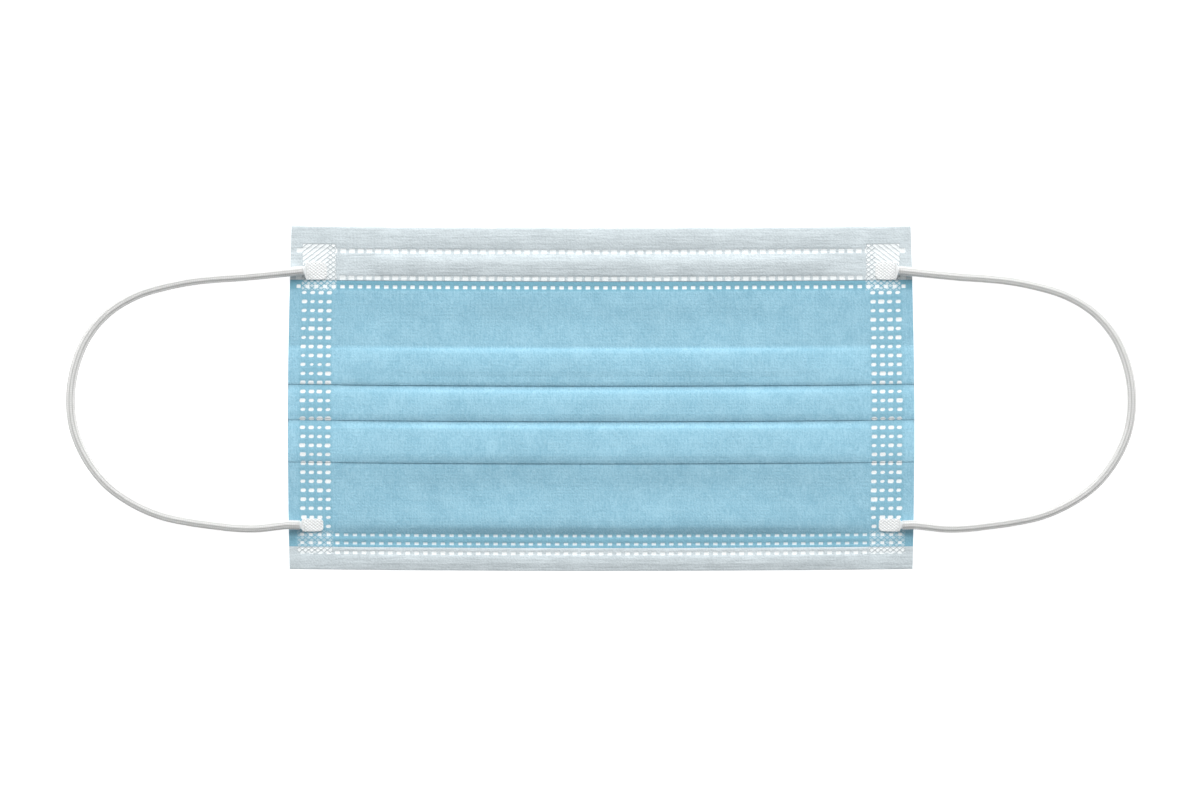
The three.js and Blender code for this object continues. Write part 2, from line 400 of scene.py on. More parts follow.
class FaceMaskSizes(bpy.types.PropertyGroup):
    """Sizes of the cloth, the welds and the cords"""

    cloth_thickness: bpy.props.FloatProperty(
        name="Cloth thickness", description="All plies together, where they lie flat",
        default=0.28 * MM, unit="LENGTH", precision=5)
    hem_thickness: bpy.props.FloatProperty(
        name="Hem thickness", description="The inner ply where it is turned over an edge",
        default=0.20 * MM, unit="LENGTH", precision=5)
    weld_pitch: bpy.props.FloatProperty(
        name="Weld pitch", description="Distance between weld points along a hem",
        default=2.48 * MM, unit="LENGTH", precision=5)
    weld_depth: bpy.props.FloatProperty(
        name="Weld depth", description="Depth of a weld point below the cloth round it",
        default=0.17 * MM, unit="LENGTH", precision=5)
    seam_press: bpy.props.FloatProperty(
        name="Seam press", description="Share of the height that the side seams take away",
        default=0.38, subtype="FACTOR", min=0.0, max=0.8)
    cord_diameter: bpy.props.FloatProperty(
        name="Cord diameter", description="Diameter of the knitted ear loop cord",
        default=2.7 * MM, unit="LENGTH", precision=5)
    cord_wales: bpy.props.IntProperty(
        name="Cord wales", description="Columns of stitches round the cord", default=9, min=4)


class FaceMaskColours(bpy.types.PropertyGroup):
    """Colours of the cloth, the welds, the cords and the wire"""

    outer_light: bpy.props.FloatVectorProperty(
        name="Outer ply, light", description="Lighter fibre tone of the blue outer ply",
        subtype="COLOR", default=linear("#9eccdf"))
    outer_dark: bpy.props.FloatVectorProperty(
        name="Outer ply, dark", description="Darker fibre tone of the blue outer ply",
        subtype="COLOR", default=linear("#86b8cd"))
    outer_pressed: bpy.props.FloatVectorProperty(
        name="Outer ply, pressed", description="The blue outer ply where a weld packs its fibres",
        subtype="COLOR", default=linear("#7ab1c5"))
    white_light: bpy.props.FloatVectorProperty(
        name="White ply, light", description="Lighter fibre tone of the white inner ply",
        subtype="COLOR", default=linear("#d8e2e6"))
    white_dark: bpy.props.FloatVectorProperty(
        name="White ply, dark", description="Darker fibre tone of the white inner ply",
        subtype="COLOR", default=linear("#c2ccd0"))
    white_pressed: bpy.props.FloatVectorProperty(
        name="White ply, pressed", description="The white inner ply where a weld packs its fibres",
        subtype="COLOR", default=linear("#b0babe"))
    weld_film: bpy.props.FloatVectorProperty(
        name="Weld film", description="Fibres melted to a film in a weld point",
        subtype="COLOR", default=linear("#f6fbfc"))
    elastic_light: bpy.props.FloatVectorProperty(
        name="Elastic, light", description="Yarn of the ear loops where it stands out",
        subtype="COLOR", default=linear("#e4e4e3"))
    # Painted shade: the ear loop yarn darkened in the grooves between wales
    elastic_groove_shade: bpy.props.FloatVectorProperty(
        name="Elastic, dark", description="Yarn of the ear loops in the grooves between wales",
        subtype="COLOR", default=linear("#b8b8b6"))
    wire_coat: bpy.props.FloatVectorProperty(
        name="Wire coat", description="Polyethylene over the nose wire",
        subtype="COLOR", default=linear("#e4e6e4"))


def sizes_mm():
    """The sizes that are set in the scene, in millimetres, and plain numbers as they are."""
    group = bpy.context.scene.face_mask_sizes
    Sizes = namedtuple("Sizes", "cloth hem pitch depth press cord wales")
    return Sizes(group.cloth_thickness / MM, group.hem_thickness / MM, group.weld_pitch / MM,
                 group.weld_depth / MM, group.seam_press, group.cord_diameter / MM, group.cord_wales)


def colour(name):
    """A colour of the scene's group, with full alpha."""
    return (*getattr(bpy.context.scene.face_mask_colours, name), 1.0)


# Curves and fields

def ease(low, high, value):
    """0 below low, 1 above high, and the cubic 3t2 - 2t3 between them."""
    t = np.clip((value - low) / (high - low), 0.0, 1.0)
    return t * t * (3.0 - 2.0 * t)


def cubic(at, knots, values, slope):
    """Cubic pieces through knots in rising order, with a given slope at each knot."""
    i = np.clip(np.searchsorted(knots, at) - 1, 0, len(knots) - 2)
    span = knots[i + 1] - knots[i]
    t = (at - knots[i]) / span
    rise = values[i + 1] - values[i]
    return (values[i] + t * t * (3.0 - 2.0 * t) * rise
            + span * t * (1.0 - t) * ((1.0 - t) * slope[i] - t * slope[i + 1]))


def smooth_curve(at, knots, values):
    """A cubic curve whose slope at a knot is the harmonic mean of the chords beside it, or level where they
    turn, so that it never overshoots."""
    chord = np.diff(values) / np.diff(knots)
    product = chord[:-1] * chord[1:]
    total = np.where(product > 0, chord[:-1] + chord[1:], 1.0)
    inner = np.where(product > 0, 2.0 * product / total, 0.0)
    return cubic(at, knots, values, np.concatenate([chord[:1], inner, chord[-1:]]))


def side_edge(up):
    """Half width of the cloth: it swells as a parabola towards the middle and leans in towards the nose."""
    share = up / HALF_HEIGHT
    return HALF_WIDTH + SIDE_SWELL * (1.0 - share ** 2) - SIDE_LEAN * share


def drift(across, up):
    """Slow, shallow unevenness of cloth that lies free, never below 0: four raised sine waves in different
    directions, which die out before the side seams, mm."""
    x = across * MIDDLE_HALF_WIDTH
    waves = sum(
        wave.height * (1.0 + np.sin(wave.across * x + wave.along * up + wave.start)) for wave in DRIFT
    )
    return waves * (1.0 - ease(*DRIFT_END, np.abs(across)))


# Welds

def dot_distance(dx, dy, half_width, half_height):
    """Signed distance to a rectangle with round corners, below 0 inside it, mm."""
    ex = np.abs(dx) - half_width + DOT_CORNER
    ey = np.abs(dy) - half_height + DOT_CORNER
    outside = np.hypot(np.maximum(ex, 0.0), np.maximum(ey, 0.0))
    return outside + np.minimum(np.maximum(ex, ey), 0.0) - DOT_CORNER


def row_welds(across, up, rows, pitch):
    """Distance to the nearest weld point of some hem rows. Along the nose edge, points stand half a pitch
    to each side of the middle, and along the chin edge one stands in the middle."""
    step = pitch / MIDDLE_HALF_WIDTH
    fields = []
    for row in rows:
        start = 0.5 if row.up > 0 else 0.0
        centre = (np.rint(across / step - start) + start) * step
        dx = (across - centre) * side_edge(up)
        distance = dot_distance(dx, up - row.up, row.half_width, row.half_height)
        fields.append(np.where(np.abs(centre) < LAST_ROW_DOT, distance, 1.0))
    return np.min(fields, axis=0)


def seam_welds(across, up):
    """Distance to the nearest weld point of the four columns that follow each side edge."""
    random = np.random.default_rng(7)
    shape = (2, SEAM_ROWS + 1, SEAM_COLUMNS)
    shift = random.normal(0.0, 0.07, shape)
    stretch = 1.0 + random.normal(0.0, 0.09, shape)
    column = np.clip(np.rint((np.abs(across) - SEAM_INNER_COLUMN) / SEAM_COLUMN_PITCH), 0, SEAM_COLUMNS - 1)
    row = np.clip(np.rint((SEAM_TOP - up) / SEAM_ROW_PITCH), 0, SEAM_ROWS)
    row = np.where((row == SEAM_ROWS) & (column > 0), SEAM_ROWS - 1, row)
    which = ((across > 0).astype(int), row.astype(int), column.astype(int))
    centre = SEAM_INNER_COLUMN + column * SEAM_COLUMN_PITCH
    dx = (np.abs(across) - centre) * side_edge(up) + shift[which]
    dy = up - (SEAM_TOP - row * SEAM_ROW_PITCH)
    return dot_distance(dx, dy, SEAM_DOT[0] * stretch[which], SEAM_DOT[1] * stretch[which])


def diamonds(x, up, scale=1.0):
    """Distance to the nearest diamond of a lattice of crossed slanting lines, mm. High up and far out,
    where the tool is worn, only one of the two sets of lines is left."""
    width, height = scale * KNURL_WIDTH, scale * KNURL_HEIGHT
    one = np.abs(x) / width + up / height
    other = np.abs(x) / width - up / height
    worn = (np.abs(x) > STRIPES_OUT) & (up > STRIPES_UP)
    off = np.maximum(np.abs(one - np.rint(one)), np.where(worn, 0.0, np.abs(other - np.rint(other))))
    return (off - KNURL_SHARE) * height


def knurl_welds(x, up):
    """Distance to the diamonds of the knurled corner patches, which are rectangles."""
    diamond = diamonds(x, up)
    field = np.ones_like(x)
    for patch in CORNER_PATCHES:
        beside = np.maximum(patch.inner - np.abs(x), np.abs(x) - patch.outer)
        above = np.maximum(patch.low - up, up - patch.high)
        field = np.minimum(field, np.maximum(diamond, np.maximum(beside, above)))
    return field


def patch_share(x, up):
    """1 inside the knurled corner patches and 0 outside."""
    inside = [(np.abs(x) > patch.inner) & (np.abs(x) < patch.outer) & (up > patch.low) & (up < patch.high)
              for patch in CORNER_PATCHES]
    return np.any(inside, axis=0).astype(float)


def pit(field):
    """Share of the weld's depth by distance from its edge: full well inside, none well outside."""
    return 1.0 - ease(-WELD_SLOPE, WELD_SLOPE, field)


# Folded sheets

def columns(pitch, half_width, side_spacing):
    """Places across the cloth, from -1 to 1: four lines for each weld point of a hem row, two inside its
    edges and two outside, then even lines over the side seams."""
    centres = (np.arange(ROW_DOTS_EACH_HALF) + 0.5) * pitch
    outside, inside = half_width + LINE_OUTSIDE, half_width - LINE_INSIDE
    lines = np.array([-outside, -inside, inside, outside])
    middle = (centres[:, None] + lines).ravel()
    last = middle[-1]
    count = int(round((MIDDLE_HALF_WIDTH - last) / side_spacing))
    side = np.linspace(last, MIDDLE_HALF_WIDTH, count + 1)[1:]
    half = np.concatenate([middle, side]) / MIDDLE_HALF_WIDTH
    return np.concatenate([-half[::-1], half])


def run_rows(run, ups):
    """Rows of up, middle height and side height at some places of a run."""
    table = np.array(run)
    heights = [smooth_curve(-ups, -table[:, UP], table[:, i]) for i in (1, 2)]
    return np.stack([ups, *heights], axis=1)


def even_rows(high, low, spacing):
    """Places from high to low that keep in step with the seam's weld rows."""
    first = np.floor((high - SEAM_TOP) / spacing)
    last = np.ceil((low - SEAM_TOP) / spacing)
    ups = SEAM_TOP + spacing * np.arange(first, last - 1, -1)
    inside = ups[(ups < high - 0.3 * spacing) & (ups > low + 0.3 * spacing)]
    return np.concatenate([[high], inside, [low]])


def turn(first, last, reach, steps, slope=1.0):
    """Half an ellipse from one row to another above or below it, standing out by reach. A slope above 1 is
    the power of its sine, which makes it fall more evenly towards its tip."""
    angle = np.linspace(0.0, np.pi, steps + 2)[1:-1, None]
    rows = (first + last) / 2 + (first - last) / 2 * np.cos(angle)
    rows[:, UP] += reach * np.sin(angle[:, 0]) ** slope
    return rows


def with_weld_lines(ups, rows):
    """Places down a run with four lines for each row of weld points, two inside its edges and two
    outside."""
    for row in rows:
        edges = row.half_height * np.array([1.0, 1.0, -1.0, -1.0])
        lines = row.up + edges + LINE_OUTSIDE * np.array([1.0, -1.0, 1.0, -1.0])
        if ups.min() < row.up < ups.max():
            far = ups[np.abs(ups - row.up) > row.half_height + 0.35]
            ups = np.sort(np.concatenate([far, lines]))[::-1]
    return ups


def seen_rows(run, number, spacing):
    """Places down a run: even ones where it shows, and few where a hem or a pleat covers it."""
    seen_from = PLEATS[number - 1].fold + 1.2 if number else TOP_HEM_EDGE + 1.2
    seen_to = run[-1].up if number < len(PLEATS) else BOTTOM_HEM_EDGE - 1.2
    return np.concatenate([
        np.linspace(run[0].up, seen_from, 4)[:-1],
        even_rows(seen_from, seen_to, spacing),
        np.linspace(seen_to, run[-1].up, 4)[1:] if seen_to != run[-1].up else [],
    ])


def pleated_rows(spacing, arc_steps):
    """Rows down the whole folded sheet, of its outer surface: each run ends in a turn under its lower fold,
    a way back up on top of the next run, and a turn into it. With no spacing, a run has the rows of its
    table."""
    parts = []
    for number, run in enumerate(PANEL_RUNS):
        if spacing:
            ups = with_weld_lines(seen_rows(run, number, spacing), PANEL_ROWS)
        else:
            ups = np.array(run)[:, UP]
        parts.append(run_rows(run, ups))
        if number == len(PLEATS):
            break
        pleat = PLEATS[number]
        back = run_rows(run, np.linspace(run[-1].up, pleat.tuck - TUCK_REACH, 4))
        back[:, 1:] = FLAT_PLY + LAYER_GAP
        low = run_rows(PANEL_RUNS[number + 1], np.array([pleat.tuck - TUCK_REACH]))
        parts += [turn(parts[-1][-1], back[0], -pleat.reach, arc_steps, pleat.slope), back,
                  turn(back[-1], low[0], TUCK_REACH, TUCK_STEPS)]
    return np.concatenate(parts)


def hem_rows(run, turn_reach, spacing, arc_steps):
    """Rows of a hem's outer surface: its leaf on the front, the turn round the mask's edge and a short way
    back. The rows always go down the front."""
    leaf = run_rows(run, even_rows(run[0].up, run[-1].up, spacing))
    at_edge = leaf[0] if turn_reach > 0 else leaf[-1]
    under = at_edge.copy()
    under[1:] = HEM_UNDERSIDE
    end = under.copy()
    end[UP] -= np.sign(turn_reach) * HEM_BACK_RUN
    if turn_reach > 0:
        return np.concatenate([[end, under], turn(under, at_edge, turn_reach, arc_steps), leaf])
    return np.concatenate([leaf, turn(at_edge, under, turn_reach, arc_steps), [under, end]])


def sheet_points(across, rows, inset, side_share, sizes, dents=0.0):
    """Points of a sheet, by column and row: x is the share of the side edge, y sags in the middle, and z is
    the height, which the side seams press down. inset moves a point into the cloth along the profile's
    normal."""
    share = side_share(np.abs(across))[:, None]
    up = np.broadcast_to(rows[:, UP], (len(across), len(rows)))
    height = rows[:, 1] * (1.0 - share) + rows[:, 2] * share
    d_up = np.gradient(up, axis=1)
    d_height = np.gradient(height, axis=1)
    length = np.hypot(d_up, d_height)
    depth = inset + dents
    place = up - depth * d_height / length
    column = leaned(across[:, None], up, sizes)
    level = height + depth * d_up / length + drift(column, up)
    pressed = 1.0 - sizes.press * ease(*PRESS_EDGE, np.abs(column))
    return np.stack([
        column * side_edge(place),
        place - MIDDLE_SAG * (1.0 - column ** 2),
        level * pressed,
    ], axis=-1)


def leaned(across, up, sizes):
    """Columns that lean half a pitch sideways on their way from the nose edge's weld points to the chin
    edge's, which stand between them. The sides stay straight."""
    share = (1.0 - ease(*LEAN_BETWEEN, up)) * (1.0 - ease(*LEAN_END, np.abs(across)))
    return across + 0.5 * sizes.pitch / MIDDLE_HALF_WIDTH * share


def grid_of(across, rows, sizes):
    """The across and up values of every column and row."""
    column, up = np.meshgrid(across, rows[:, UP], indexing="ij")
    return leaned(column, up, sizes), up


def pleat_share(out):
    """How far a column has gone from the middle's heights to the sides' ones, on the pleated plies."""
    return ease(*PLEAT_FADE, out)


def wire_share(out):
    """The same on the top hem, where the nose wire ends."""
    return ease(*WIRE_END_FADE, out)


# Meshes

def hem_piece(name, run, turn_reach, rows, sizes):
    """A hem as a thin closed wall, with its weld points and its share of the knurled corners pressed in."""
    across = columns(sizes.pitch, rows[0].half_width, HEM_COLUMN)
    outer = hem_rows(run, turn_reach, HEM_ROW, HEM_TURN_STEPS)
    inner = hem_rows(run, turn_reach, HEM_INSIDE_ROW, HEM_INSIDE_STEPS)
    column, up = grid_of(across, outer, sizes)
    x = column * side_edge(up)
    patch = patch_share(x, up)
    weld = np.where(patch > 0, knurl_welds(x, up), row_welds(column, up, rows, sizes.pitch))
    crease = np.exp(-((np.abs(x) - CREASE_OUT) / CREASE_HALF) ** 2) * ease(CREASE_UP, CREASE_UP + 0.8, up)
    dents = HEM_WELD_SHARE * sizes.depth * pit(weld) + CREASE_DEPTH * crease
    outside = sheet_points(across, outer, 0.0, wire_share, sizes, dents)
    free_edge = run[-1].up if turn_reach > 0 else run[0].up
    from_edge = np.abs(inner[:, UP] - free_edge)
    thin = 1.0 - (1.0 - HEM_EDGE_SHARE) * (1.0 - ease(0.0, HEM_EDGE_TAPER, from_edge))
    inside = sheet_points(across, inner, sizes.hem * thin, wire_share, sizes)
    blank = np.ones(inside.shape[:2])
    return closed_mesh(name, np.concatenate([outside, inside[:, ::-1]], axis=1),
                       weld=np.concatenate([weld, blank], axis=1),
                       pressed=np.concatenate([patch, 0.0 * blank], axis=1))


def closed_mesh(name, grid, **attributes):
    """Skin over a grid of stations, points round each section and xyz in mm: a quad between neighbours and
    a cap at each end. The faces are turned round if the volume comes out negative."""
    stations, around = grid.shape[:2]
    index = np.arange(stations * around).reshape(stations, around)
    beside = np.roll(index, -1, axis=1)
    quads = np.stack([index[:-1], index[1:], beside[1:], beside[:-1]], axis=-1).reshape(-1, 4)
    caps = np.stack([index[0], index[-1][::-1]])
    points = grid.reshape(-1, 3)
    a, b, c, d = (points[quads[:, i]] for i in range(4))
    volume = np.sum(a * np.cross(b, c)) + np.sum(a * np.cross(c, d))
    for cap in caps:
        fan = points[cap]
        volume += np.sum(fan[0] * np.cross(fan[1:-1], fan[2:]))
    turned = slice(None, None, -1) if volume < 0 else slice(None)
    mesh = bpy.data.meshes.new(name)
    mesh.from_pydata((points * MM).tolist(), [], quads[:, turned].tolist() + caps[:, turned].tolist())
    mesh.polygons.foreach_set("use_smooth", np.ones(len(mesh.polygons), dtype=bool))
    mesh.set_sharp_from_angle(angle=np.radians(50.0))
    for key, values in attributes.items():
        mesh.attributes.new(key, "FLOAT", "POINT").data.foreach_set("value", np.asarray(values, "f").ravel())
    mesh.update()
    piece = bpy.data.objects.new(name, mesh)
    bpy.context.scene.collection.objects.link(piece)
    return piece


def dress(piece, material, slot, *nodes):
    """Gives a piece its material, its body and the nodes it shows. The slot argument is not used."""
    piece.data.materials.append(material)
    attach(piece, "root")
    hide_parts(*nodes)
    return piece


# Materials

def add_node(tree, kind, inputs=None, **settings):
    """Adds a node with its settings, and sets or links its inputs by name or number."""
    made = tree.nodes.new(kind)
    for key, value in settings.items():
        setattr(made, key, value)
    for key, value in (inputs or {}).items():
        if isinstance(value, bpy.types.NodeSocket):
            tree.links.new(value, made.inputs[key])
        else:
            made.inputs[key].default_value = value
    return made


def new_material(name):
    """An empty node material, its tree and the Object coordinates in it."""
    material = bpy.data.materials.new(name)
    material.use_nodes = True
    tree = material.node_tree
    tree.nodes.clear()
    return material, tree, add_node(tree, "ShaderNodeTexCoord").outputs["Object"]


def finish_material(tree, base, roughness, height, bump_depth, **constants):
    """Ends a material in one shader: colour, roughness and a bump of some depth in mm, and plain
    constants."""
    bump = add_node(tree, "ShaderNodeBump", {"Height": height, "Distance": bump_depth * MM, "Strength": 1.0})
    values = {key.replace("_", " ").title(): value for key, value in constants.items()}
    values = {"IOR" if key == "Ior" else key: value for key, value in values.items()}
    shader = add_node(tree, "ShaderNodeBsdfPrincipled", {
        "Base Color": base, "Roughness": roughness, "Normal": bump.outputs[0], **values,
    })
    add_node(tree, "ShaderNodeOutputMaterial", {"Surface": shader.outputs[0]})


def knurl_film(tree, place):
    """Film on the diamonds of a knurled patch, half melted: the same lattice as the pressed-in one, worked
    out where the knurl attribute is 1. Each set of slanting lines is a triangle wave of the place."""
    parts = add_node(tree, "ShaderNodeSeparateXYZ", {0: place})
    out = add_node(tree, "ShaderNodeMath", {0: parts.outputs["X"]}, operation="ABSOLUTE")
    steep = add_node(tree, "ShaderNodeMath", {
        0: parts.outputs["Y"], 1: 1 / KNURL_HEIGHT / MM,
    }, operation="MULTIPLY")
    waves = []
    for sign in (1.0, -1.0):
        slant = add_node(tree, "ShaderNodeMath", {
            0: out.outputs[0], 1: sign / KNURL_WIDTH / MM, 2: steep.outputs[0],
        }, operation="MULTIPLY_ADD")
        waves.append(add_node(tree, "ShaderNodeMath", {0: slant.outputs[0], 1: 0.5}, operation="PINGPONG"))
    off = add_node(tree, "ShaderNodeMath", {
        0: waves[0].outputs[0], 1: waves[1].outputs[0],
    }, operation="MAXIMUM")
    diamond = add_node(tree, "ShaderNodeMapRange", {
        "Value": off.outputs[0], "From Min": 0.42, "From Max": 0.32, "To Max": HALF_MELTED,
    })
    inside = add_node(tree, "ShaderNodeAttribute", attribute_name="knurl")
    film = add_node(tree, "ShaderNodeMath", {
        0: diamond.outputs[0], 1: inside.outputs["Fac"],
    }, operation="MULTIPLY")
    return film.outputs[0]


def spunbond_cloth(name, light, dark, pressed, fibre):
    """Spunbonded polypropylene, matt: drawn fibres lie in fine streaks, the felt is a little cloudy, and
    small bond points stand in rows. Where the pleats lie its colour is painted paler, painted light that stands
    in for their lit slopes. A weld packs it to a deeper tone and melts its points to a smooth pale film."""
    grain_size, cloud, bond_pitch = 0.5, 5.0, 1.0
    material, tree, place = new_material(name)
    stretched = add_node(tree, "ShaderNodeMapping", {
        "Vector": place, "Scale": tuple(1 / length / MM for length in fibre),
    })
    streaks = add_node(tree, "ShaderNodeTexNoise", {
        "Vector": stretched.outputs[0], "Scale": 1.0, "Detail": 3.0, "Roughness": 0.65,
    })
    clouds = add_node(tree, "ShaderNodeTexNoise", {
        "Vector": place, "Scale": 1 / cloud / MM, "Detail": 2.0, "Roughness": 0.6,
    })
    lattice = add_node(tree, "ShaderNodeMapping", {
        "Vector": place, "Scale": (1 / bond_pitch / MM, 1 / bond_pitch / MM, 0.0),
    })
    points = add_node(tree, "ShaderNodeTexVoronoi", {
        "Vector": lattice.outputs[0], "Scale": 1.0, "Randomness": 0.2,
    })
    bonds = add_node(tree, "ShaderNodeMapRange", {
        "Value": points.outputs["Distance"], "From Min": 0.15, "From Max": 0.4,
    })
    grain = add_node(tree, "ShaderNodeTexNoise", {
        "Vector": place, "Scale": 1 / grain_size / MM, "Detail": 2.0, "Roughness": 0.7,
    })
    fibres = add_node(tree, "ShaderNodeMath", {0: streaks.outputs[0], 1: grain.outputs[0]}, operation="ADD")
    tone = add_node(tree, "ShaderNodeMath", {
        0: clouds.outputs[0], 1: 0.6, 2: fibres.outputs[0],
    }, operation="MULTIPLY_ADD")
    shade = add_node(tree, "ShaderNodeMapRange", {
        "Value": tone.outputs[0], "From Min": 1.05, "From Max": 1.55,
    })
    single = add_node(tree, "ShaderNodeMix", {0: shade.outputs[0], 6: dark, 7: light}, data_type="RGBA")
    # Painted light: the pleat zone is painted paler, standing in for the light on the raised pleats
    pleat_light_share = add_node(tree, "ShaderNodeAttribute", attribute_name="layers")
    lift = add_node(tree, "ShaderNodeMapRange", {
        "Value": pleat_light_share.outputs["Fac"], "To Min": 1.0, "To Max": PLEAT_PAINTED_LIGHT,
    })
    cloth = add_node(tree, "ShaderNodeMix", {
        0: 1.0, 6: single.outputs[2], 7: lift.outputs[0],
    }, data_type="RGBA", blend_type="MULTIPLY")
    packed = add_node(tree, "ShaderNodeAttribute", attribute_name="pressed")
    deeper = add_node(tree, "ShaderNodeMix", {
        0: packed.outputs["Fac"], 6: cloth.outputs[2], 7: pressed,
    }, data_type="RGBA")
    weld = add_node(tree, "ShaderNodeAttribute", attribute_name="weld")
    welded = add_node(tree, "ShaderNodeMapRange", {
        "Value": weld.outputs["Fac"], "From Min": 0.06, "From Max": -0.10,
    })
    melted = add_node(tree, "ShaderNodeMath", {
        0: welded.outputs[0], 1: knurl_film(tree, place),
    }, operation="MAXIMUM")
    filmed = add_node(tree, "ShaderNodeMix", {
        0: melted.outputs[0], 6: deeper.outputs[2], 7: colour("weld_film"),
    }, data_type="RGBA")
    roughness = add_node(tree, "ShaderNodeMapRange", {
        "Value": melted.outputs[0], "To Min": 0.85, "To Max": 0.45,
    })
    relief = add_node(tree, "ShaderNodeMath", {
        0: bonds.outputs[0], 1: 0.2, 2: fibres.outputs[0],
    }, operation="MULTIPLY_ADD")
    finish_material(tree, filmed.outputs[2], roughness.outputs[0], relief.outputs[0], 0.11,
                    ior=1.49, sheen_weight=0.12, sheen_roughness=0.5)
    return material


def knitted_elastic(name, light, dark, spread):
    """Textured polyester knitted round a rubber core: soft, matt and white. On a cord its darker colour is
    painted shade down in the grooves between wales; on a pressed end it is the unmelted yarn between the
    diamonds. Light spreads some way inside the yarn, given in mm, which softens its shade. Pressed hot, it
    melts to a whiter, denser skin."""
    yarn = 0.22
    material, tree, place = new_material(name)
    fuzz = add_node(tree, "ShaderNodeTexNoise", {
        "Vector": place, "Scale": 1 / yarn / MM, "Detail": 2.0, "Roughness": 0.6,
    })
    # Painted shade in the cord's grooves; on a pressed end, the unmelted yarn between the melted diamonds
    groove = add_node(tree, "ShaderNodeAttribute", attribute_name="groove")
    depth = add_node(tree, "ShaderNodeMath", {
        0: fuzz.outputs[0], 1: 0.35, 2: groove.outputs["Fac"],
    }, operation="MULTIPLY_ADD")
    shade = add_node(tree, "ShaderNodeMapRange", {
        "Value": depth.outputs[0], "From Min": 0.1, "From Max": 1.2,
    })
    base = add_node(tree, "ShaderNodeMix", {
        0: shade.outputs[0], 6: light, 7: dark,
    }, data_type="RGBA")
    roughness = add_node(tree, "ShaderNodeMapRange", {
        "Value": fuzz.outputs[0], "To Min": 0.7, "To Max": 0.9,
    })
    finish_material(tree, base.outputs[2], roughness.outputs[0], fuzz.outputs[0], 0.05,
                    ior=1.5, sheen_weight=0.2, sheen_roughness=0.5,
                    subsurface_weight=1.0, subsurface_radius=(1.0, 1.0, 1.0), subsurface_scale=spread * MM)
    return material


def coated_wire():
    """Polyethylene run over two steel cores: smooth, a little glossy, with faint lines from the die."""
    line_width, line_length = 0.3, 20.0
    material, tree, place = new_material("extruded polyethylene over wire")
    drawn = add_node(tree, "ShaderNodeMapping", {
        "Vector": place, "Scale": (1 / line_length / MM, 1 / line_width / MM, 1 / line_width / MM),
    })
    lines = add_node(tree, "ShaderNodeTexNoise", {"Vector": drawn.outputs[0], "Scale": 1.0, "Detail": 2.0})
    coat = colour("wire_coat")
    shaded = tuple(0.88 * part for part in coat[:3]) + (1.0,)
    base = add_node(tree, "ShaderNodeMix", {0: lines.outputs[0], 6: shaded, 7: coat}, data_type="RGBA")
    roughness = add_node(tree, "ShaderNodeMapRange", {
        "Value": lines.outputs[0], "To Min": 0.35, "To Max": 0.5,
    })
    finish_material(tree, base.outputs[2], roughness.outputs[0], lines.outputs[0], 0.03, ior=1.51)
    return material


def light_table():
    """Matt opal acrylic lit from below, as under a cut-out product photo: white, with a trace of grain."""
    grain = 1.2
    material, tree, place = new_material("matt opal acrylic")
    paper = add_node(tree, "ShaderNodeTexNoise", {"Vector": place, "Scale": 1 / grain / MM, "Detail": 2.0})
    base = add_node(tree, "ShaderNodeMix", {
        0: paper.outputs[0], 6: (*linear("#c6c6c6"), 1.0), 7: (*linear("#cacaca"), 1.0),
    }, data_type="RGBA")
    roughness = add_node(tree, "ShaderNodeMapRange", {
        "Value": paper.outputs[0], "To Min": 0.85, "To Max": 0.95,
    })
    finish_material(tree, base.outputs[2], roughness.outputs[0], paper.outputs[0], 0.01, ior=1.49,
                    emission_color=(1.0, 1.0, 1.0, 1.0), emission_strength=FLOOR_GLOW)
    return material


# Cords

def loop_path(side, spacing):
    """Centreline of an ear loop in mm: a cubic through the route's points, taken at even steps of its
    length."""
    route = np.array(LOOP_ROUTE)
    height = LYING_HEIGHT + route[:, 2] * (END_HEIGHT - LYING_HEIGHT)
    points = np.stack([side * route[:, 0], route[:, 1], height], axis=1)
    knots = np.concatenate([[0.0], np.cumsum(np.linalg.norm(np.diff(points, axis=0), axis=1))])
    fine = np.linspace(0.0, knots[-1], 3000)
    track = np.stack([cubic(fine, knots, line, np.gradient(line, knots)) for line in points.T], axis=1)
    reached = np.concatenate([[0.0], np.cumsum(np.linalg.norm(np.diff(track, axis=0), axis=1))])
    steps = np.linspace(0.0, reached[-1], int(round(reached[-1] / spacing)) + 1)
    return np.stack([np.interp(steps, reached, line) for line in track.T], axis=1), steps


def knitted_tube(name, path, steps, sizes):
    """A round cord along a path: its radius dips between the wales, and each wale is a row of V stitches, a
    wave along the cord that lags towards the wale's sides."""
    along = np.gradient(path, axis=0)
    along /= np.linalg.norm(along, axis=1, keepdims=True)
    beside = np.cross([0.0, 0.0, 1.0], along)
    beside /= np.linalg.norm(beside, axis=1, keepdims=True)
    above = np.cross(along, beside)
    angle = np.linspace(0.0, 2 * np.pi, sizes.wales * SIDES_PER_WALE, endpoint=False)
    off_wale = np.abs((angle * sizes.wales / (2 * np.pi) + 0.5) % 1.0 - 0.5) * 2.0
    wave = np.cos(2 * np.pi * steps[:, None] / STITCH_LENGTH + STITCH_LAG * off_wale)
    dip = WALE_GROOVE * off_wale ** 2 + STITCH_DIP * (1.0 - wave) * (1.0 - off_wale)
    radius = sizes.cord / 2 - dip
    ring = np.cos(angle)[None, :, None] * beside[:, None] + np.sin(angle)[None, :, None] * above[:, None]
    # The groove depth is also the share of painted shade on the cord
    return closed_mesh(name, path[:, None] + radius[..., None] * ring, groove=dip / dip.max())


